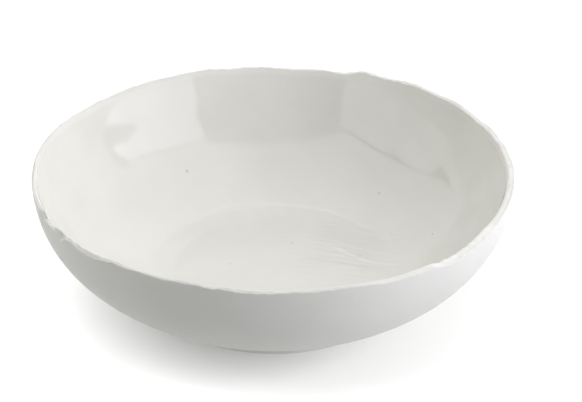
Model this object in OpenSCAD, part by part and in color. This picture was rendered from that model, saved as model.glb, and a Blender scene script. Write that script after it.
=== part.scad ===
// Deep plate in hand-formed porcelain: one fired clay body on a turned foot ring, matt outside,
// with a coat of clear glaze that lines the inside and laps over a torn, uneven rim.
// Millimetres, +Z up, origin on the table under the middle of the foot ring.

/* [Plate] */
// Diameter over the rim
rim_d = 240; // [210:1:280]
// Mean height of the rim above the table
rim_h = 69; // [55:1:90]

/* [Foot] */
// Diameter over the foot ring
foot_d = 131; // [110:1:145]
// Height of the foot ring up to the start of the wall
foot_h = 3; // [2:0.5:4]
// Width of the foot ring
foot_w = 6; // [4:0.5:8]
// Depth of the hollow inside the foot ring
hollow_h = 3; // [1:0.5:4]
// Slant of the inner side of the foot ring, measured across it
foot_slant = 1.5; // [0.5:0.5:2]
// Wiped edge round the foot ring
foot_edge = 0.8; // [0.3:0.1:1]

/* [Outside of the wall] */
// Slope at which the outside leaves the foot, in degrees
outer_slope = 30; // [24:1:36]
// Reach of the outer curve from the foot
outer_belly = 29; // [22:1:36]
// Reach of the outer curve down from the rim
outer_shoulder = 36; // [28:1:40]

/* [Inside of the wall] */
// Thickness of the clay floor over the hollow
floor_t = 5.6; // [4:0.1:8]
// How far inside the edge of the foot the flat middle of the floor ends and the sweep up starts
floor_inset = 13.5; // [10:0.5:20]
// Slope at which the inside leaves the flat middle, in degrees
inner_slope = 4; // [1:0.5:8]
// Reach of the inner curve from the floor
inner_belly = 40; // [32:1:46]
// Reach of the inner curve down from the rim
inner_shoulder = 30; // [22:1:36]
// Outward lean of the inner face at the rim, in degrees
inner_flare = 10; // [4:1:14]

/* [Torn rim] */
// Width of the lip
lip_t = 2.8; // [2.2:0.1:4]
// Width of the rounding along each edge of the lip
lip_round = 0.6; // [0.3:0.1:0.9]
// Fall of the lip across that rounding
lip_fall = 0.45; // [0.2:0.05:0.8]
// How far the tears depart from the mean rim, 1 as photographed
tear_depth = 1; // [0:0.1:1.3]
// Height of the fine ripple left along the tear
ripple = 0.15; // [0:0.05:0.3]
// Height of the band at the top of the wall that the tear runs through
torn_band = 10; // [8:0.5:14]

/* [Glaze] */
// Thickness of the glaze
glaze_t = 0.4; // [0.3:0.05:0.6]
// Width over which the glaze thins out where it stops on the lip
glaze_bead = 0.5; // [0.3:0.1:0.8]

/* [Hidden] */

rim_r = rim_d / 2;
foot_r = foot_d / 2;
floor_r = foot_r - floor_inset;
floor_z = hollow_h + floor_t;
seam_z = rim_h - torn_band;
// Steps along each curve of the profile, and segments round the plate
curve_steps = 24;
round_fn = 240;
tear_steps = 240;
// No point of a curve lies nearer than this under the torn band
least_step = 0.5;
// The torn band is faceted, so it stands this far inside the round edges of the wall under it
outer_tuck = 0.004;
inner_tuck = 0.016;
// A tongue under the band is rooted in the wall: its depth, and its place across the wall or coat
root_depth = 0.5;
root_sides = [0.3, 0.7];

// The tear, read anticlockwise from the right: angle, and the heights of the outer and the
// inner edge of the lip over the mean rim
tear = [
    [0, 0.3, -0.2], [8, -0.2, -0.6], [12, 1.1, 0.3], [14, 0.1, -0.5], [21, 0.8, 0.2],
    [25, 0.2, -0.4], [36, 1.6, 0.8], [44, 1.2, 0.4], [50, 1.9, 1.1], [60, 0.6, 0],
    [66, 1.6, 1], [71, -1.5, -1.8], [77, -0.9, -1.4], [84, -1.7, -2], [89, -1, -1.4],
    [98, -0.4, -0.7], [102, -0.7, -1], [107, 0.4, 0.2], [117, 0, -0.4], [123, 0.4, 0],
    [138, -0.2, -0.5], [141, 0.1, -0.3], [145, -0.5, -0.8], [151, 0.3, -0.1], [162, 1.3, 0.9],
    [172, 1.6, 1.4], [180, 1, 1], [188, 0.4, 0.2], [196, -0.2, -0.2], [202, -0.8, -1.6],
    [206, -1.2, -2.6], [210, -2.6, -1.2], [214, -1.6, -2.2], [217, -0.6, -0.6], [221, -2.7, -1.4],
    [226, -2.4, -0.8], [229, -0.8, -0.2], [232, 0.7, 0.5], [236, 0, 0], [240, 0.7, 0.6],
    [244, 0.3, 0.4], [252, 0.7, 0.6], [256, -0.4, 0.1], [259, 0.4, 0.2], [264, -0.8, -0.5],
    [270, -0.7, -0.8], [275, -0.2, -0.5], [283, -0.6, -0.4], [288, -0.2, -0.5], [292, -1, -1],
    [296, -2, -1.9], [302, -2.3, -1.6], [308, -2, -1.5], [310, -3.6, -3.6], [314, -4.8, -3.8],
    [318, -4.6, -3.6], [323, -3.8, -3.2], [328, -3.1, -2.2], [335, -2.4, -2.2], [341, -1.4, -2],
    [347, -0.7, -1], [360, 0.3, -0.2]
];
outer_tear = [for (k = tear) [k[0], k[1]]];
inner_tear = [for (k = tear) [k[0], k[2]]];

function fine_ripple(a) = ripple * (sin(23 * a) + 0.6 * sin(41 * a + 50) + 0.5 * sin(67 * a + 20));
function outer_edge(a) = rim_h + tear_depth * lookup(a, outer_tear) + fine_ripple(a);
function inner_edge(a) = rim_h + tear_depth * lookup(a, inner_tear) + fine_ripple(a + 5);

// A curve from one point to another, by the direction and the reach it has at each end
function bend_point(p, t) = pow(1 - t, 3) * p[0] + 3 * pow(1 - t, 2) * t * p[1]
    + 3 * (1 - t) * pow(t, 2) * p[2] + pow(t, 3) * p[3];
function bend(p) = [for (i = [0:curve_steps]) bend_point(p, i / curve_steps)];
function reach(from, angle, length) = from + length * [cos(angle), sin(angle)];
// The same curve moved sideways, to the left of its direction
function beside(c, d) = [for (i = [0:len(c) - 1])
    let (along = c[min(i + 1, len(c) - 1)] - c[max(i - 1, 0)])
    c[i] + d * [-along[1], along[0]] / norm(along)];
function reversed(c) = [for (i = [len(c) - 1:-1:0]) c[i]];
// The radius of a curve at a height, and the part of the curve that is under the torn band
function radius_at(c, z) = lookup(z, [for (p = c) [p[1], p[0]]]);
function point_at(c, z, aside = 0) = [radius_at(c, z) + aside, z];
function below_seam(c) = concat(
    [for (p = c) if (p[1] < seam_z - least_step) p],
    [point_at(c, seam_z)]
);

outer_foot = [foot_r, foot_h];
outer_rim = [rim_r, rim_h];
outside = bend([
    outer_foot,
    reach(outer_foot, outer_slope, outer_belly),
    reach(outer_rim, -90, outer_shoulder),
    outer_rim
]);
inner_floor = [floor_r, floor_z];
inner_rim = [rim_r - lip_t, rim_h];
inside = bend([
    inner_floor,
    reach(inner_floor, inner_slope, inner_belly),
    reach(inner_rim, -90 - inner_flare, inner_shoulder),
    inner_rim
]);
// The face of the glaze, one coat inside the clay
glaze_face = beside(inside, glaze_t);

foot_profile = [
    [0, hollow_h],
    [foot_r - foot_w, hollow_h],
    [foot_r - foot_w + foot_slant, foot_edge],
    [foot_r - foot_w + foot_slant + foot_edge, 0],
    [foot_r - foot_edge, 0],
    [foot_r, foot_edge]
];

// Points of the torn lip at one angle, as [radius, height]: up the outside, over the lip, down
// the inside, and back up the face of the glaze to its bead on the lip
function between(low, high) = (low + high) / 2;
function outer_face(a) =
    let (top = outer_edge(a) - lip_fall)
    [
        point_at(outside, seam_z, -outer_tuck),
        point_at(outside, between(seam_z, top)),
        point_at(outside, top)
    ];
function lip_face(a) = [
    point_at(outside, outer_edge(a), -lip_round),
    point_at(inside, inner_edge(a), lip_round)
];
function inner_face(a, tuck) =
    let (top = inner_edge(a) - lip_fall)
    [
        point_at(inside, top),
        point_at(inside, between(seam_z, top)),
        point_at(inside, seam_z, tuck)
    ];
function coat_face(a) =
    let (top = inner_edge(a) - lip_fall)
    [
        point_at(glaze_face, seam_z, inner_tuck),
        point_at(glaze_face, between(seam_z, top)),
        point_at(glaze_face, top),
        point_at(inside, inner_edge(a), lip_round - glaze_t) + [0, glaze_t],
        point_at(outside, outer_edge(a), -lip_round - glaze_bead) + [0, glaze_t]
    ];
// The tongue, from the side given first to the side given last
function tongue(first, last) =
    let (a = point_at(first, seam_z), b = point_at(last, seam_z))
    let (near = a + root_sides[0] * (b - a), far = a + root_sides[1] * (b - a))
    [near, near - [0, root_depth], far - [0, root_depth], far];

// A closed ring from the sections given for each angle, turned inside out where it is asked
module ring_of(sections, inside_out = false) {
    n = len(sections[0]);
    points = [for (i = [0:tear_steps - 1], p = sections[i])
        let (a = i * 360 / tear_steps)
        [p[0] * cos(a), p[0] * sin(a), p[1]]
    ];
    faces = [for (i = [0:tear_steps - 1], j = [0:n - 1])
        let (a = n * i, b = n * ((i + 1) % tear_steps), k = (j + 1) % n)
        each [[a + j, a + k, b + k], [a + j, b + k, b + j]]
    ];
    polyhedron(points, inside_out ? [for (f = faces) reversed(f)] : faces, convexity = 4);
}

module torn_band() {
    ring_of([for (i = [0:tear_steps - 1])
        let (a = i * 360 / tear_steps)
        concat(outer_face(a), lip_face(a), inner_face(a, inner_tuck), tongue(inside, outside))
    ]);
}

module glaze_over_the_lip() {
    ring_of([for (i = [0:tear_steps - 1])
        let (a = i * 360 / tear_steps)
        concat(lip_face(a), inner_face(a, -outer_tuck), tongue(inside, glaze_face), coat_face(a))
    ], inside_out = true);
}

// The plate's one piece of fired clay: the wall on its foot ring, and its torn rim
module porcelain_body() {
    color([0.9, 0.9, 0.89]) {
        rotate_extrude($fn = round_fn)
            polygon(concat(
                foot_profile,
                below_seam(outside),
                reversed(below_seam(inside)),
                [[0, floor_z]]
            ));
        torn_band();
    }
}

// The clear coat that lines the inside and laps over the lip
module inner_glaze() {
    color([0.97, 0.97, 0.95]) {
        rotate_extrude($fn = round_fn)
            polygon(concat(
                [[0, floor_z]],
                below_seam(inside),
                reversed(below_seam(glaze_face)),
                [[0, floor_z + glaze_t]]
            ));
        glaze_over_the_lip();
    }
}

porcelain_body();
inner_glaze();
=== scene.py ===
import math

import bpy
import numpy as np
from mathutils import Matrix, Vector


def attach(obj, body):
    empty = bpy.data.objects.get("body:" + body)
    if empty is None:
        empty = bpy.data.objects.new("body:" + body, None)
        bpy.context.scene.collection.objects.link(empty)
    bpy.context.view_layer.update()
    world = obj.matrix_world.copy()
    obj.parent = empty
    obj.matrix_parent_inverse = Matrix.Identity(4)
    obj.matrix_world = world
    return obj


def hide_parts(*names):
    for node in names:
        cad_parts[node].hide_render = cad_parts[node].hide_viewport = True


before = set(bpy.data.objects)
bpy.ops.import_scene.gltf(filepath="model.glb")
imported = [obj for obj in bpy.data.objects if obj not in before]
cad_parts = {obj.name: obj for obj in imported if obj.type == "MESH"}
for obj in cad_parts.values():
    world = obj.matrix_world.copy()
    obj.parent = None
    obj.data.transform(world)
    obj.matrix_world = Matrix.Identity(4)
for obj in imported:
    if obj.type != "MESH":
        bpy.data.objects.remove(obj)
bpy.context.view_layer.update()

# The porcelain body: one piece of fired white clay, pressed thin by hand, torn along the rim and
# turned on the wheel to cut its foot ring. It was fired bare, and rubbed with a diamond pad until
# the outside was smooth and matt. Sizes in millimetres.
rim_radius, rim_height = 120.0, 69.0
foot_radius, foot_height, foot_width, hollow_depth = 65.5, 3.0, 6.0, 3.0
floor_radius, floor_height = 52.0, 8.6
lip_width, lip_rounding, lip_fall = 2.8, 0.6, 0.45
segments = 600
degrees = np.arange(segments) * 360.0 / segments
angles = np.radians(degrees)

# How the two curves of the wall leave the foot or the floor, and how they reach the rim: their
# angle over level in degrees, and how far they are held to it
outside_leaves, outside_arrives = (30, 29), (90, 36)
inside_leaves, inside_arrives = (4, 40), (80, 30)
curve_steps, run_past_rim = 400, 6


def bent_line(start, leaves, end, arrives):
    """A curve of the profile, and a short straight run past its end: radius and height."""
    start, end = np.array(start), np.array(end)
    a, b = np.radians(leaves[0]), np.radians(arrives[0])
    hold = start + leaves[1] * np.array([np.cos(a), np.sin(a)])
    pull = end - arrives[1] * np.array([np.cos(b), np.sin(b)])
    t = np.linspace(0, 1, curve_steps)[:, None]
    curve = (1 - t)**3 * start + 3 * (1 - t)**2 * t * hold + 3 * (1 - t) * t**2 * pull + t**3 * end
    return np.vstack([curve, end + run_past_rim * np.array([np.cos(b), np.sin(b)])])


outside_foot, outside_rim = (foot_radius, foot_height), (rim_radius, rim_height)
outside = bent_line(outside_foot, outside_leaves, outside_rim, outside_arrives)
inside_floor, inside_rim = (floor_radius, floor_height), (rim_radius - lip_width, rim_height)
inside = bent_line(inside_floor, inside_leaves, inside_rim, inside_arrives)


def up_the_wall(curve, top, shares):
    """Radius and height at each share of the way from the foot of a curve to a height top."""
    run = np.concatenate([[0], np.cumsum(np.hypot(*np.diff(curve, axis=0).T))])
    reach = np.interp(top, curve[:, 1], run)[:, None] * shares[None, :]
    return np.interp(reach, run, curve[:, 0]), np.interp(reach, run, curve[:, 1])


# The line of the tear, anticlockwise from the right: angle in degrees, and how far the outer and
# the inner edge of the lip stand over or under the mean rim
tear = np.array([
    (0, 0.3, -0.2), (8, -0.2, -0.6), (12, 1.1, 0.3), (14, 0.1, -0.5), (21, 0.8, 0.2),
    (25, 0.2, -0.4), (36, 1.6, 0.8), (44, 1.2, 0.4), (50, 1.9, 1.1), (60, 0.6, 0.0),
    (66, 1.6, 1.0), (71, -1.5, -1.8), (77, -0.9, -1.4), (84, -1.7, -2.0), (89, -1.0, -1.4),
    (98, -0.4, -0.7), (102, -0.7, -1.0), (107, 0.4, 0.2), (117, 0.0, -0.4), (123, 0.4, 0.0),
    (138, -0.2, -0.5), (141, 0.1, -0.3), (145, -0.5, -0.8), (151, 0.3, -0.1), (162, 1.3, 0.9),
    (172, 1.6, 1.4), (180, 1.0, 1.0), (188, 0.4, 0.2), (196, -0.2, -0.2), (202, -0.8, -1.6),
    (206, -1.2, -2.6), (210, -2.6, -1.2), (214, -1.6, -2.2), (217, -0.6, -0.6),
    (221, -2.7, -1.4), (226, -2.4, -0.8), (229, -0.8, -0.2), (232, 0.7, 0.5), (236, 0.0, 0.0),
    (240, 0.7, 0.6), (244, 0.3, 0.4), (252, 0.7, 0.6), (256, -0.4, 0.1), (259, 0.4, 0.2),
    (264, -0.8, -0.5), (270, -0.7, -0.8), (275, -0.2, -0.5), (283, -0.6, -0.4),
    (288, -0.2, -0.5), (292, -1.0, -1.0), (296, -2.0, -1.9), (302, -2.3, -1.6),
    (308, -2.0, -1.5), (310, -3.6, -3.6), (314, -4.8, -3.8), (318, -4.6, -3.6),
    (323, -3.8, -3.2), (328, -3.1, -2.2), (335, -2.4, -2.2), (341, -1.4, -2.0),
    (347, -0.7, -1.0), (360, 0.3, -0.2),
])
outer_column, inner_column = 1, 2
# The corners between these points are softened over this many degrees
softening = (-0.8, 0, 0.8)

# The grain of the tear: the number of waves round the rim, where they start, and their share of
# the height. The nibbles have a height of their own, and swell and fade by waves of their own.
ripple_height, ripples = 0.15, ((23, 0, 1), (41, 0.87, 0.6), (67, 0.35, 0.5))
nibbles = ((109, 1.1, 0.10, 7, 0), (151, 0, 0.08, 11, 2))
inner_grain_shift = 5


def torn_height(column, grain_shift):
    """Height of one edge of the lip at each angle, with the fine grain of the tear."""
    knots = sum(np.interp((degrees + step) % 360, tear[:, 0], tear[:, column]) for step in softening)
    a = np.radians(degrees + grain_shift)
    ripple = ripple_height * sum(share * np.sin(waves * a + start) for waves, start, share in ripples)
    nibble = sum(
        height * np.sin(waves * a + start) * (1 + np.sin(swells * a + swell_start))
        for waves, start, height, swells, swell_start in nibbles
    )
    return rim_height + knots / len(softening) + ripple + nibble


outer_edge = torn_height(outer_column, 0)
inner_edge = torn_height(inner_column, inner_grain_shift)
# Chips that broke out of the outside only: angle, half width, how far the outer edge fell there,
# and how far the inner edge was left standing
chips = ((203, 1.7, 4.2, 1.9), (212.5, 1.7, 3.4, 1.9))
for at, half_width, outer_fall, inner_rise in chips:
    chip = np.exp(-((degrees - at) / half_width)**2)
    outer_edge -= outer_fall * chip
    inner_edge += inner_rise * chip

# The lip was pressed thinner behind and at the left than at the right, and the wall flares out to
# it there, from a height of flare_start upwards
width_angles = (0, 45, 70, 100, 195, 230, 300, 330, 360)
lip_widths = np.interp(degrees, width_angles, (3.2, 2.5, 1.9, 1.3, 1.4, 1.8, 2.2, 3.2, 3.2))
flare_start, most_flare = 38.0, 1.2


def thinned(z):
    """How far the inside stands outside its mean line where the lip is thin, at heights per angle."""
    share = np.clip((z - flare_start) / (rim_height - flare_start), 0, most_flare)
    return ((lip_width - lip_widths) * (share**2).T).T


def inner_wall(shares):
    """Radius and height of the inside of the clay, from the floor up to the lip."""
    r, z = up_the_wall(inside, inner_edge - lip_fall, shares)
    return r + thinned(z), z


# The grain over the lip: its height, its waves round the rim, the slower ones that make it patchy,
# and how far both lean across the lip. It fades out at both edges, over half a turn of a wave.
lip_grain, half_turn = 0.10, 3.14
grain_waves, grain_lean, patch_waves, patch_lean = 57, 4, 19, 2.5


def rounding(distance):
    """How much of its fall the lip has at a distance from a rounded edge: 1 at it, 0 further in."""
    return 1 - np.sqrt(1 - (1 - np.clip(distance / lip_rounding, 0, 1))**2)


def over_the_lip(across):
    """Radius and height over the torn lip, at distances across it from its outer edge."""
    share = across[None, :] / lip_width
    r_out = np.interp(outer_edge, outside[:, 1], outside[:, 0])[:, None]
    r_in = (np.interp(inner_edge, inside[:, 1], inside[:, 0]) + thinned(inner_edge))[:, None]
    fall = lip_fall * (rounding(across) + rounding(lip_width - across))[None, :]
    a = angles[:, None]
    grain = lip_grain * np.sin(grain_waves * a + grain_lean * share) * np.sin(half_turn * share)
    grain *= np.sin(patch_waves * a + patch_lean * share)
    height = outer_edge[:, None] + (inner_edge - outer_edge)[:, None] * share - fall + grain
    return r_out + (r_in - r_out) * share, height


# Distances across the lip, closer together where its edges are rounded
lip_points = np.array([
    0, 0.03, 0.1, 0.22, 0.4, 0.6, 0.85, 1.1, 1.4, 1.8, 2.2, 2.4, 2.58, 2.7, 2.77, lip_width,
])


def joined(*parts):
    """Stretches of a section put end to end, without the doubled points where they meet."""
    return [
        np.concatenate([parts[0][axis]] + [part[axis][:, 1:] for part in parts[1:]], axis=1)
        for axis in (0, 1)
    ]


# How far the plate went out of round: angle, spread and push in each place. And where a finger
# pressed the wall out: angle, height, width across and depth.
sags = ((200, 26, 0.8), (330, 24, -0.6))
finger_at, finger_height, finger_across, finger_depth = 112.5, 37.5, 4.0, 0.16


def degrees_from(at, a):
    """Degrees from one direction to angles in radians, the short way round."""
    return (np.degrees(a) - at + 180) % 360 - 180


def warped(points):
    """The plate as it was pressed by hand, and sagged a little out of round in the kiln."""
    x, y, z = points.T
    a = np.arctan2(y, x)
    sag = sum(most * np.exp(-(degrees_from(at, a) / spread)**2) for at, spread, most in sags)
    push = sag * np.clip(z / rim_height, 0, 1)**2
    along_wall = np.radians(degrees_from(finger_at, a)) * np.hypot(x, y)
    away = np.hypot(along_wall, z - finger_height)
    push += finger_depth * np.exp(-(away / finger_across)**2)
    return np.stack([x + push * np.cos(a), y + push * np.sin(a), z], axis=1)


def placed(r, z):
    """The rings of a section as points in space, one ring for each of its columns."""
    return [
        np.stack([r[:, k] * np.cos(angles), r[:, k] * np.sin(angles), z[:, k]], axis=1)
        for k in range(r.shape[1])
    ]


closest_points = 0.3


def level_rings(radii, heights):
    """Rings inside a round floor, with fewer points where they would crowd."""
    rings = []
    for r, z in zip(radii, np.broadcast_to(heights, len(radii))):
        count = segments
        while count % 2 == 0 and r * 2 * math.pi / count < closest_points:
            count //= 2
        a = np.arange(count) * 2 * math.pi / count
        rings.append(np.stack([r * np.cos(a), r * np.sin(a), np.full(count, z)], axis=1))
    return rings


def middle_point(height):
    """The single point that closes a skin on the axis of the plate."""
    return np.array([[0, 0, height]])


def faces_between(ring, other):
    """Faces from a ring of point numbers to the next, which has as many, half or twice as many, or
    is the single point that closes the skin."""
    counts = len(ring), len(other)
    faces = []
    for i in range(max(counts) if 1 in counts else min(counts)):
        here, here_next = (ring[(i + step) % len(ring)] for step in (0, 1))
        there, there_next = (other[(i + step) % len(other)] for step in (0, 1))
        if len(ring) == len(other):
            faces.append((here, here_next, there_next, there))
        elif len(ring) == 1:
            faces.append((here, there_next, there))
        elif len(other) == 1:
            faces.append((here, here_next, there))
        elif len(ring) < len(other):
            first, middle, last = (other[(2 * i + step) % len(other)] for step in (0, 1, 2))
            faces += [(here, middle, first), (here, here_next, middle), (here_next, last, middle)]
        else:
            first, middle, last = (ring[(2 * i + step) % len(ring)] for step in (0, 1, 2))
            faces += [(first, middle, there), (middle, there_next, there), (middle, last, there_next)]
    return faces


def skin(name, rings):
    """A closed, smooth mesh through rings that run from one middle point to the other."""
    numbers, total = [], 0
    for ring in rings:
        numbers.append(range(total, total + len(ring)))
        total += len(ring)
    faces = [face for pair in zip(numbers, numbers[1:]) for face in faces_between(*pair)]
    mesh = bpy.data.meshes.new(name)
    points = warped(np.concatenate(rings)) / 1000
    mesh.from_pydata(points.tolist(), [], faces)
    mesh.validate()
    mesh.polygons.foreach_set("use_smooth", [True] * len(mesh.polygons))
    piece = bpy.data.objects.new(name, mesh)
    bpy.context.collection.objects.link(piece)
    return piece


# A wave may start anywhere in a full turn
any_start = (0, 6.28)


def plain_waves(points, seed, count, shortest, longest):
    """A soft uneven field of about unit height, made of waves of the given lengths."""
    pick = np.random.default_rng(seed)
    field = np.zeros(len(points))
    for _ in range(count):
        way = pick.normal(size=3)
        length = pick.uniform(shortest, longest)
        turns = points @ (way / np.linalg.norm(way)) * 2 * math.pi / length
        field += np.sin(turns + pick.uniform(*any_start))
    return field * math.sqrt(2 / count)


# Under the plate: the hollow inside the foot ring, with the lines that the turning tool left. Its
# rings lie closer together towards the middle.
turning_depth, turning_spacing, full_turning_radius, clear_of_corner = 0.06, 3.4, 20, 0.5
hollow_edge = foot_radius - foot_width - clear_of_corner
hollow_radii = np.concatenate([np.geomspace(1.2, 12, 12), np.linspace(13.5, hollow_edge, 32)])
turned = turning_depth * np.sin(hollow_radii * 2 * math.pi / turning_spacing)
turned *= np.clip(hollow_radii / full_turning_radius, 0, 1)
body_rings = [middle_point(hollow_depth)] + level_rings(hollow_radii, hollow_depth + turned)

# The foot ring from the hollow over its tread to the outside: how far in from the outside, and how
# high. The points along its straight stretches keep them flat under smooth shading.
foot_section = np.array([
    (6.2, 2.97), (5.98, 2.8), (5.9, 2.5), (5.4, 1.6), (4.8, 0.75), (4.5, 0.42), (4.1, 0.14),
    (3.6, 0.02), (3.2, 0.0), (2.2, 0.0), (1.2, 0.0), (0.8, 0.02), (0.4, 0.14), (0.1, 0.42),
    (0.0, 0.8), (0.0, 1.6), (0.0, 2.2), (-0.06, 2.7), (-0.4, 3.12),
])
body_rings += level_rings(foot_radius - foot_section[:, 0], foot_section[:, 1])

# The wall from the foot ring up to the lip, a little uneven from the hand, then the lip, and the
# inside, which is coarser because the glaze hides it
outside_shares, hidden_shares = np.linspace(0, 1, 66)[2:], np.linspace(1, 0, 26)
hand_height, rings_to_full_height = 0.05, 8
wall = up_the_wall(outside, outer_edge - lip_fall, outside_shares)
body_section = joined(wall, over_the_lip(lip_points), inner_wall(hidden_shares))
outline = placed(*body_section)
outward = np.stack([np.cos(angles), np.sin(angles)], axis=1)
for k, ring in enumerate(outline[:len(outside_shares)]):
    hand = plain_waves(ring, seed=3, count=14, shortest=22, longest=60) * hand_height
    ring[:, :2] += (hand * min(1, k / rings_to_full_height))[:, None] * outward
hidden_floor_radii = np.linspace(48, 4, 12)
body_rings += outline + level_rings(hidden_floor_radii, floor_height) + [middle_point(floor_height)]
body = skin("porcelain_body_bare", body_rings)
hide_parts("porcelain_body")
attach(body, "root")


def colour(code):
    """An sRGB hex colour as the linear colour that a shader takes."""
    parts = [int(code[i:i + 2], 16) / 255 for i in (1, 3, 5)]
    return tuple(v / 12.92 if v <= 0.04045 else ((v + 0.055) / 1.055)**2.4 for v in parts) + (1.0,)


def finish(name):
    """A new material, its node tree and its main shader."""
    material = bpy.data.materials.new(name)
    material.use_nodes = True
    return material, material.node_tree, material.node_tree.nodes["Principled BSDF"]


def add(tree, kind, settings, links=()):
    """A node with its settings and its links: (input, node, output) feeds an input of it."""
    node = tree.nodes.new(kind)
    for key, value in settings.items():
        if key in node.inputs:
            node.inputs[key].default_value = value
        else:
            setattr(node, key, value)
    for name, source, output in links:
        tree.links.new(source.outputs[output], node.inputs[name])
    return node


def scale(size):
    """The scale of a noise whose spots are about this many millimetres apart."""
    return 1000 / size


# Biscuit porcelain, polished: the fine grain of fired clay spreads the light, so it shows a soft
# broad sheen and no mirror. Grit of about 0.3 mm is too fine for the render, so it is drawn at 0.9 mm.
drawn_grit, grit_height, cloud_size = 0.9, 0.06, 28
noise_span = {"From Min": 0.3, "From Max": 0.7}
# Fired clay and glaze are mostly glass, and bend light as glass does
glass_ior = 1.5
biscuit, tree, shader = finish("polished_biscuit_porcelain")
place = add(tree, "ShaderNodeTexCoord", {})
on_clay = [("Vector", place, "Object")]
grit = add(tree, "ShaderNodeTexNoise", {"Scale": scale(drawn_grit), "Detail": 3.0}, on_clay)
cloud_settings = {"Scale": scale(cloud_size), "Detail": 3.0, "Roughness": 0.6}
cloud = add(tree, "ShaderNodeTexNoise", cloud_settings, on_clay)
white = add(tree, "ShaderNodeValToRGB", {}, [("Fac", cloud, "Fac")])
dull_white, light_white = white.color_ramp.elements
dull_white.position, light_white.position = noise_span.values()
dull_white.color = colour("#DEDEDA")
light_white.color = colour("#E2E2DE")
rubbed = {**noise_span, "To Min": 0.50, "To Max": 0.60}
rub = add(tree, "ShaderNodeMapRange", rubbed, [("Value", cloud, "Fac")])
relief_settings = {"Strength": 0.12, "Distance": grit_height / 1000}
relief = add(tree, "ShaderNodeBump", relief_settings, [("Height", grit, "Fac")])
tree.links.new(white.outputs["Color"], shader.inputs["Base Color"])
tree.links.new(rub.outputs["Result"], shader.inputs["Roughness"])
tree.links.new(relief.outputs["Normal"], shader.inputs["Normal"])
shader.inputs["IOR"].default_value = glass_ior
body.data.materials.append(biscuit)

# The glaze: clear glass about 0.4 mm thick, poured in after the first firing, swirled over the
# inside and wiped back on the lip. It pooled and dried unevenly over the pressed clay, so its face
# has long soft ripples, wrinkles and combed streaks on the floor, and pinholes.
glaze_thickness, bead_start, gap_to_clay = 0.4, 1.1, 0.012
# Over the lip: distances from its outer edge, and how thick the glaze is at each
face_lip = np.array([
    bead_start, 1.12, 1.18, 1.28, 1.42, 1.6, 1.85, 2.1, 2.3, 2.45, 2.58, 2.68, 2.75, lip_width,
])
face_cover = np.array([
    0.03, 0.06, 0.1, 0.14, 0.18, 0.22, 0.27, 0.31, 0.34, 0.36, 0.38, 0.39, 0.4, glaze_thickness,
])


def offset(r, z, cover):
    """A section moved out of the clay by the cover at each of its points."""
    dr, dz = np.gradient(r, axis=1), np.gradient(z, axis=1)
    size = np.hypot(dr, dz)
    return r + cover * dz / size, z - cover * dr / size


def beside_line(points, line, width):
    """How near points lie to a line of knots on the plate: 1 on it, falling to 0 past its width."""
    best = np.full(len(points), np.inf)
    share = np.zeros(len(points))
    line = np.array(line, float)
    for k in range(len(line) - 1):
        along = line[k + 1] - line[k]
        t = np.clip(((points - line[k]) @ along) / (along @ along), 0, 1)
        away = np.linalg.norm(points - line[k] - t[:, None] * along, axis=1)
        share = np.where(away < best, (k + t) / (len(line) - 1), share)
        best = np.minimum(best, away)
    return np.exp(-(best / width)**2) * np.sin(math.pi * share)**0.5


# The ridge round the floor where the wall was pressed up, and the wrinkles that run over the
# floor: points that the crest goes through, its half width and its height
ridge = [
    (-48, 46, 11), (-37, 55.5, 11.5), (-24, 64, 11.5), (-8, 66, 11), (8.5, 65, 11),
    (30, 58.5, 11), (45.5, 44, 10.5), (57, 35, 11.5), (61, 27, 10.5), (59, 18, 10),
]
ridge_half_width, ridge_height = 1.0, 0.10
wrinkles = [
    ([(12, 34, 9), (29.5, 24.5, 9), (47, 10, 9), (65.5, 1.5, 11)], 1.1, 0.11),
    ([(16, 13, 9), (31.5, 8, 9), (47, 3, 9), (60, 0, 10)], 1.3, -0.09),
    ([(14, 38, 9), (33, 29, 9), (52, 17, 9), (62, 12, 10)], 0.9, 0.06),
    ([(20, 20, 9), (40, 12, 9), (58, 6, 9.6)], 0.9, 0.06),
    ([(30, 44, 9.5), (45, 38, 10), (60, 27, 11)], 0.8, 0.06),
]

# The comb of streaks: how many, how they lean off X, their spacing, and where they are strongest
streaks, usual_lean, lean_spread, streak_spacing = 18, 0.25, 0.13, (3.2, 6.5)
comb_middle, comb_reach = (38, 18), 34
long_ripple, short_ripple, streak_height = 0.07, 0.03, 0.014


def combed(points):
    """Shallow streaks in the glaze that run nearly along X, most of them at the right of the floor."""
    pick = np.random.default_rng(17)
    field = np.zeros(len(points))
    for _ in range(streaks):
        lean, length = pick.normal(0, lean_spread), pick.uniform(*streak_spacing)
        way = np.array([math.sin(lean) + usual_lean, math.cos(lean), 0])
        field += np.sin(points @ way * 2 * math.pi / length + pick.uniform(*any_start))
    away = np.linalg.norm(points[:, :2] - comb_middle, axis=1)
    return field / math.sqrt(streaks / 2) * np.exp(-(away / comb_reach)**2)


def unevenness(points):
    """How far the face of the glaze stands over or under its mean thickness, in millimetres."""
    lift = long_ripple * plain_waves(points, seed=11, count=16, shortest=24, longest=48)
    lift += short_ripple * plain_waves(points, seed=12, count=24, shortest=8, longest=15)
    lift += streak_height * combed(points)
    for line, half_width, height in [(ridge, ridge_half_width, ridge_height), *wrinkles]:
        lift += height * beside_line(points, line, half_width)
    return lift


def grows(rings, first, over):
    """A share for each ring: 0 up to the first one, and 1 from where so many more have passed."""
    return np.clip((np.arange(rings) - first) / over, 0, 1)


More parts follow.
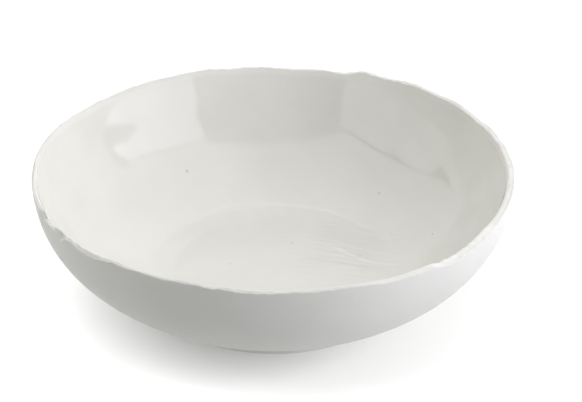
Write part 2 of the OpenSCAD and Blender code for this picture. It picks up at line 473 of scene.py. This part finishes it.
# The lip was wiped barer at the front left, and its wall is covered in full again further down
wiped_angles, wiped_shares = (180, 195, 245, 262), (1, 0.45, 0.45, 1)
wiped_rings, rings_to_full_cover, rings_to_full_ripple = 8, 14, 22
r, z = joined(over_the_lip(face_lip), inner_wall(np.linspace(1, 0, 130)))
rings = r.shape[1]
cover = np.concatenate([face_cover, np.full(rings - len(face_cover), glaze_thickness)])
wiped = np.interp(degrees, wiped_angles, wiped_shares)[:, None]
cover = cover * (wiped + (1 - wiped) * grows(rings, wiped_rings, rings_to_full_cover))
r, z = offset(r, z, cover)
lift = np.stack([unevenness(ring) for ring in placed(r, z)], axis=1)
face_rings = placed(*offset(r, z, lift * grows(rings, len(face_lip), rings_to_full_ripple)))
floor_face = floor_height + glaze_thickness
floor_radii = np.concatenate([np.linspace(51.4, 12, 80), np.geomspace(11.5, 1.2, 16)])
for ring in level_rings(floor_radii, floor_face) + [middle_point(floor_face)]:
    ring[:, 2] += unevenness(ring)
    face_rings.append(ring)

# The back of the glaze lies against the clay, a hundredth of a millimetre clear of it, from the
# middle of the floor up and over the lip to the start of the bead
floor_back = floor_height + gap_to_clay
back_lip = over_the_lip(lip_points[lip_points >= bead_start][::-1])
back_section = offset(*joined(inner_wall(hidden_shares[::-1]), back_lip), -gap_to_clay)
back_rings = [middle_point(floor_back)] + level_rings(hidden_floor_radii[::-1], floor_back)
back_rings += placed(*back_section)
glaze_rings = back_rings + face_rings
glaze = skin("inner_glaze_coat", glaze_rings)
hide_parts("inner_glaze")
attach(glaze, "root")

# How deep the tone is, from 0, light, to 1, grey: painted shade inside the ridge on the far side, the
# streaks, painted highlight on the ridge, and painted highlight and shade from a millimetre of wrinkle
mean_tone, far_shade_tone, streak_tone, ridge_highlight_tone, wrinkle_light_and_shade = 0.5, 0.11, 0.035, 0.15, 2.1
shade_radius, shade_edge, far_from, far_over, crest_highlight_width = 64.5, 2, 5, 25, 0.8
floor_top = 14


def patchy(points, seed):
    """How strong a crest is along its length: stronger and weaker by turns."""
    return 0.8 + 0.3 * plain_waves(points, seed=seed, count=8, shortest=9, longest=22)


def glaze_tone_and_painted_light(points):
    """How deep the white of the glaze looks, with painted shade and painted highlights on the floor."""
    x, y, z = points.T
    # Painted shade: the floor is greyer inside the ridge on its far side
    far_side = np.clip((y - far_from) / far_over, 0, 1)
    painted_far_shade = np.clip((shade_radius - np.hypot(x, y)) / shade_edge, 0, 1) * far_side
    tone = mean_tone + far_shade_tone * painted_far_shade + streak_tone * combed(points)
    patches = patchy(points, seed=24)
    # Painted highlight along raised wrinkles, and painted shade along sunk ones
    for line, half_width, height in wrinkles:
        tone -= wrinkle_light_and_shade * height * beside_line(points, line, half_width) * patches
    # Painted highlight: a lighter line along the crest of the ridge
    painted_crest_highlight = ridge_highlight_tone * beside_line(points, ridge, crest_highlight_width) * patchy(points, seed=23)
    return np.where(z < floor_top, tone, mean_tone) - painted_crest_highlight


def paint(piece, name, values):
    """Keeps a value for each point of a piece, which its material reads by name."""
    piece.data.attributes.new(name, "FLOAT", "POINT").data.foreach_set("value", values)


paint(glaze, "glaze_tone_and_painted_light", glaze_tone_and_painted_light(np.concatenate(glaze_rings)))
# The wiped glaze on the lip is too thin to flow out to a full gloss
satin_rings, rings_to_full_gloss = 14, 4
thin_face = 1 - grows(len(face_rings), satin_rings, rings_to_full_gloss)
thinness = np.concatenate([np.zeros(len(back_rings)), thin_face])
paint(glaze, "thin_on_the_lip", np.repeat(thinness, [len(ring) for ring in glaze_rings]))

# Clear glaze on white porcelain: a smooth glass face over bright clay gives crisp reflections of
# the studio on a warm white. Its colour has painted shade, greyer inside the ridge on the far side,
# and painted highlights, lighter along the crests of the ridge and of its raised wrinkles.
pool_size, peel_size, peel_height = 35, 3.5, 0.01
gloss, tree, shader = finish("clear_glaze_on_porcelain")
place = add(tree, "ShaderNodeTexCoord", {})
on_glaze = [("Vector", place, "Object")]
pool = add(tree, "ShaderNodeTexNoise", {"Scale": scale(pool_size), "Detail": 2.0}, on_glaze)
depth = add(tree, "ShaderNodeAttribute", {"attribute_name": "glaze_tone_and_painted_light"})
clouded = {**noise_span, "To Min": 0.07, "To Max": -0.07}
cloudy = add(tree, "ShaderNodeMapRange", clouded, [("Value", pool, "Fac")])
both_tones = [(0, depth, "Fac"), (1, cloudy, "Result")]
tone = add(tree, "ShaderNodeMath", {"operation": "ADD"}, both_tones)
white = add(tree, "ShaderNodeValToRGB", {}, [("Fac", tone, "Value")])
lightest_white, greyest_white = white.color_ramp.elements
lightest_white.color = colour("#F3F2EE")
greyest_white.color = colour("#D3D2C9")

# Pinholes are too fine for the render, so the shade in their pits is painted as soft dots of about
# 1 mm: where they lie on the plate, and their size. A dot is darkest as far as its core and gone at
# its edge, which are radii in millimetres for a size of 1.
pinholes = [
    (-47.5, 79, 1.1), (9.5, 27.5, 0.8), (44.5, 14, 0.8), (56.5, 63.5, 0.8), (82.5, 19.5, 0.8),
    (-23, 6, 0.7),
]
core, edge, darkness = 0.3, 1.0, 0.36
flat = add(tree, "ShaderNodeVectorMath", {"operation": "MULTIPLY"}, on_glaze)
flat.inputs[1].default_value = (1, 1, 0)
below = white.outputs["Color"]
# Each dot is painted shade for the pit of a pinhole
for x, y, size in pinholes:
    away = add(tree, "ShaderNodeVectorMath", {"operation": "DISTANCE"}, [("Vector", flat, "Vector")])
    away.inputs[1].default_value = (x / 1000, y / 1000, 0)
    dot = {"From Min": size * core / 1000, "From Max": size * edge / 1000, "To Min": darkness, "To Max": 0}
    mark = add(tree, "ShaderNodeMapRange", dot, [("Value", away, "Value")])
    shade = add(tree, "ShaderNodeMix", {"data_type": "RGBA"}, [("Factor", mark, "Result")])
    sides = [socket for socket in shade.inputs if socket.type == "RGBA"]
    tree.links.new(below, sides[0])
    sides[1].default_value = colour("#7E7A70")
    below = [socket for socket in shade.outputs if socket.type == "RGBA"][0]
tree.links.new(below, shader.inputs["Base Color"])

# A faint orange peel in the face of the fired glaze, and the satin lip
peel = add(tree, "ShaderNodeTexNoise", {"Scale": scale(peel_size), "Detail": 2.0}, on_glaze)
relief_settings = {"Strength": 0.3, "Distance": peel_height / 1000}
relief = add(tree, "ShaderNodeBump", relief_settings, [("Height", peel, "Fac")])
tree.links.new(relief.outputs["Normal"], shader.inputs["Normal"])
thin = add(tree, "ShaderNodeAttribute", {"attribute_name": "thin_on_the_lip"})
shine = add(tree, "ShaderNodeMapRange", {"To Min": 0.5, "To Max": 0.08}, [("Value", thin, "Fac")])
satin = add(tree, "ShaderNodeMapRange", {"To Min": 0.012, "To Max": 0.45}, [("Value", thin, "Fac")])
tree.links.new(shine.outputs["Result"], shader.inputs["Specular IOR Level"])
tree.links.new(satin.outputs["Result"], shader.inputs["Roughness"])
shader.inputs["IOR"].default_value = glass_ior
glaze.data.materials.append(gloss)

# The studio floor: matt white paper under the plate, even and without any sheen. It takes light
# and shadow, and throws no light back on the plate. Metres from here on.
floor_disc, just_below = 0.62, 0.0002
bpy.ops.mesh.primitive_circle_add(
    vertices=96, radius=floor_disc, fill_type="NGON", location=(0, 0, -just_below),
)
ground = bpy.context.object
ground.name = "studio_floor"
paper, tree, shader = finish("white_paper_floor")
shader.inputs["Base Color"].default_value = colour("#F9F9F9")
shader.inputs["Roughness"].default_value = 0.9
shader.inputs["Specular IOR Level"].default_value = 0.0
ground.data.materials.append(paper)
ground.visible_diffuse = False
ground.visible_shadow = False


def lit_group(name, *pieces):
    """The pieces that a lamp is kept to."""
    group = bpy.data.collections.new(name)
    for piece in pieces:
        group.objects.link(piece)
    return group


# Soft boxes stand at the right, at the left, behind and overhead. The plate and the paper have
# lamps of their own, and the one at the right is dimmer for the bare clay than for the glaze.
only_plate = lit_group("lit_plate", body, glaze)
only_glaze = lit_group("lit_glaze", glaze)
only_clay = lit_group("lit_clay", body)
only_paper = lit_group("lit_paper", ground)


def soft_box(name, lit, centre, facing, width, height, radiance, tint=(1, 1, 1)):
    """A flat soft light: what it lights, its centre, the way its back faces as azimuth and
    elevation, its size, its brightness and its colour."""
    light = bpy.data.lights.new(name, "AREA")
    light.shape, light.size, light.size_y = "RECTANGLE", width, height
    light.energy, light.color = radiance * math.pi * width * height, tint
    lamp = bpy.data.objects.new(name, light)
    azimuth, elevation = (math.radians(v) for v in facing)
    level = math.cos(elevation)
    away = Vector((math.cos(azimuth) * level, math.sin(azimuth) * level, math.sin(elevation)))
    lamp.location = centre
    lamp.rotation_euler = away.to_track_quat("Z", "Y").to_euler()
    lamp.visible_camera = False
    lamp.light_linking.receiver_collection = lit
    bpy.context.collection.objects.link(lamp)
    return lamp


def wall_box(name, lit, distance, square, span, top, radiance, tint=(1, 1, 1)):
    """An upright soft box from the floor to its top, on a plane that is square to an azimuth at a
    distance, and spans two azimuths."""
    a = math.radians(square)
    left, right = (distance * math.tan(math.radians(azimuth - square)) for azimuth in span)
    middle = (left + right) / 2
    x = distance * math.cos(a) - middle * math.sin(a)
    y = distance * math.sin(a) + middle * math.cos(a)
    return soft_box(name, lit, (x, y, top / 2), (square, 0), abs(right - left), top, radiance, tint)


# Each upright box has its distance, the azimuth that it is square to, its span, its top and its
# brightness. An overhead one has its centre, how it faces, its width, its height and its brightness.
at_right, at_left, behind, behind_right, overhead = -52, -150, 90, 30, (0, 90)
right_span, right_top, left_top = (-47.7, 0.5), 1.0, 0.91
cool, warm = (0.938, 0.938, 1.0), (1.0, 1.0, 0.975)
plate_lights = [
    wall_box("soft_box_right", only_glaze, 0.9, at_right, right_span, right_top, 4.35, cool),
    wall_box("soft_box_right_dimmed", only_clay, 0.915, at_right, right_span, right_top, 3.85, cool),
    wall_box("soft_box_left", only_plate, 1.1, at_left, (-144, -210), left_top, 1.57, warm),
    wall_box("bright_backdrop", only_plate, 1.3, behind, (50, 125), 1.3, 1.0),
    wall_box("soft_box_behind_right", only_plate, 1.2, behind_right, (8, 49), 1.1, 0.80),
    soft_box("soft_box_overhead_front", only_plate, (0, -0.425, 1.7), overhead, 2.8, 1.35, 1.10),
    soft_box("soft_box_overhead_back", only_plate, (0, 0.925, 1.7), overhead, 2.8, 1.35, 1.44),
]
for lamp in plate_lights:
    lamp.visible_glossy = False

wall_box("paper_box_right", only_paper, 0.92, at_right, (-47.7, 5.6), right_top, 4.8)
wall_box("paper_box_left", only_paper, 1.12, at_left, (-128.7, -196), left_top, 0.5)
soft_box("paper_box_high_left", only_paper, (-0.904, -0.159, 1.31), (190, 55), 1.4, 1.4, 3.0)
soft_box("paper_box_overhead", only_paper, (0, 0, 0.7), overhead, 12.0, 12.0, 0.75)

# The cards are what the glaze mirrors. They stand for the same boxes, but far away, and only
# reflections see them. Their edges are given as seen from a point 48 mm over the floor.
card_distance, seen_from, card_step = 6, 0.048, 1.5
unseen_by = ("camera", "diffuse", "shadow", "transmission", "volume_scatter")


def card(name, radiance, tint, edges):
    """A bright card, with its azimuths and its lower and upper edge at each, in degrees."""
    azimuths, low, high = np.array(edges, float).T
    columns = 1 + round(abs(azimuths[-1] - azimuths[0]) / card_step)
    steps = np.linspace(azimuths[0], azimuths[-1], columns)
    way = 1 if azimuths[-1] > azimuths[0] else -1
    points = []
    for edge in (low, high):
        a, e = np.radians(steps), np.radians(np.interp(steps * way, azimuths * way, edge))
        directions = np.stack([np.cos(a) * np.cos(e), np.sin(a) * np.cos(e), np.sin(e)], axis=1)
        points += list(card_distance * directions + (0, 0, seen_from))
    faces = [(k, k + 1, columns + k + 1, columns + k) for k in range(columns - 1)]
    mesh = bpy.data.meshes.new(name)
    mesh.from_pydata([tuple(point) for point in points], [], faces)
    glow, tree, shader = finish(name + "_light")
    shader.inputs["Base Color"].default_value = (0, 0, 0, 1)
    shader.inputs["Specular IOR Level"].default_value = 0
    shader.inputs["Emission Color"].default_value = (*tint, 1)
    shader.inputs["Emission Strength"].default_value = radiance
    mesh.materials.append(glow)
    sheet = bpy.data.objects.new(name, mesh)
    for kind in unseen_by:
        setattr(sheet, "visible_" + kind, False)
    bpy.context.collection.objects.link(sheet)


# The box at the right is three cards, with a notch left between them in its far end
blue, plain = (0.925, 0.94, 1.0), (1, 1, 1)
box_right = 2.15
card("card_right", box_right, blue, [
    (-49, -6, 44.5), (-46, -6, 44), (-39, -6, 43.5), (-30, -6, 41), (-22, -6, 38), (-16, -6, 36),
])
card("card_right_low", box_right, blue, [
    (-16, -6, 15.5), (-10, -6, 12.5), (-6.5, -6, 9), (-2, -6, 7), (2.5, -6, 4),
])
card("card_right_high", box_right, blue, [
    (-16, 16, 36), (-13, 18, 35), (-10, 18.5, 34), (-5.5, 20, 31.5), (0, 18, 29.5), (2.5, 17, 27.5),
    (4.5, 16, 24),
])
card("card_behind_right", 0.9, plain, [(8.5, -6, 34), (12, -6, 42), (49, -6, 44)])
card("card_behind", 1.05, plain, [(49, -6, 44), (112, -6, 44), (125, -6, 30), (149.5, -6, 17.5)])
card("card_left", 1.25, plain, [
    (-127, -6, 34.5), (-143, -6, 36), (-160, -6, 37.5), (-174, -6, 35), (-181, -6, 33),
    (-188, -6, 30), (-195, -6, 25.5),
])
card("card_left_low", 1.15, plain, [(-195, -6, 18), (-210.5, -6, 17.5)])
# The overhead card keeps a dark gap over the boxes at the right and at the left
card("card_overhead", 1.12, plain, [
    (149.5, 17.5, 90), (125, 30, 90), (112, 44, 90), (49, 44, 90), (12, 42, 90), (8.5, 34, 90),
    (4.5, 26, 90), (2.5, 29, 90), (-3.5, 32.5, 90), (-13, 36.5, 90), (-22, 39.5, 90),
    (-30, 42.5, 90), (-39, 45, 90), (-49, 46, 90), (-60, 52, 90), (-75, 55, 90), (-90, 56, 90),
    (-105, 54, 90), (-118, 47, 90), (-127, 40, 90), (-143, 39.5, 90), (-160, 40, 90),
    (-174, 37.5, 90), (-181, 35, 90), (-188, 31.5, 90), (-195, 26, 90), (-210.5, 17.5, 90),
])

# The room: dark but for what comes from below, which stands in for the light that the paper
# throws back, from the left (0) to the right (1). The camera itself sees plain white.
from_left, from_right, between = 0.5, 0.72, ((0.2, 0.38), (0.4, 0.25), (0.66, 0.78))
world = bpy.data.worlds.new("studio_room")
bpy.context.scene.world = world
world.use_nodes = True
tree = world.node_tree
room = tree.nodes["Background"]
way = add(tree, "ShaderNodeTexCoord", {})
axes = add(tree, "ShaderNodeSeparateXYZ", {}, [("Vector", way, "Generated")])
sideways = add(tree, "ShaderNodeMapRange", {"From Min": -1, "From Max": 1}, [("Value", axes, "X")])
off_the_paper = add(tree, "ShaderNodeValToRGB", {}, [("Fac", sideways, "Result")])
stops = off_the_paper.color_ramp.elements
stops[0].color = (from_left, from_left, from_left, 1)
stops[1].color = (from_right, from_right, from_right, 1)
for share, level in between:
    stops.new(share).color = (level, level, level, 1)
under_horizon = {"From Min": -0.05, "From Max": 0.05, "To Min": 1, "To Max": 0}
low_down = add(tree, "ShaderNodeMapRange", under_horizon, [("Value", axes, "Z")])
tree.links.new(off_the_paper.outputs["Color"], room.inputs["Color"])
tree.links.new(low_down.outputs["Result"], room.inputs["Strength"])
backdrop = add(tree, "ShaderNodeBackground", {"Color": (1, 1, 1, 1), "Strength": 1.0})
path = add(tree, "ShaderNodeLightPath", {})
mix = add(tree, "ShaderNodeMixShader", {}, [("Fac", path, "Is Camera Ray")])
tree.links.new(room.outputs[0], mix.inputs[1])
tree.links.new(backdrop.outputs[0], mix.inputs[2])
tree.links.new(mix.outputs[0], tree.nodes["World Output"].inputs["Surface"])

# The camera stands a metre from a point on the plate's axis at about the height of its rim, looks
# down at it, and is then turned a little to the right and down
camera_distance, aim_height, looks_down = 1.0, 0.06907, math.radians(27.96)
turned_right, tipped_down = math.radians(0.4782), math.radians(0.9838)
scene = bpy.context.scene
scene.view_settings.view_transform = "Standard"
scene.view_settings.look = "None"
camera = bpy.data.objects.new("photo_camera", bpy.data.cameras.new("photo_camera"))
bpy.context.collection.objects.link(camera)
camera.data.sensor_width, camera.data.lens, camera.data.clip_end = 36.0, 123.67, 20
back, up = camera_distance * math.cos(looks_down), camera_distance * math.sin(looks_down)
camera.matrix_world = (
    Matrix.Translation((0, -back, up + aim_height))
    @ Matrix.Rotation(math.pi / 2 - looks_down, 4, "X")
    @ Matrix.Rotation(-turned_right, 4, "Y")
    @ Matrix.Rotation(-tipped_down, 4, "X")
)
scene.camera = camera

bpy.context.view_layer.update()
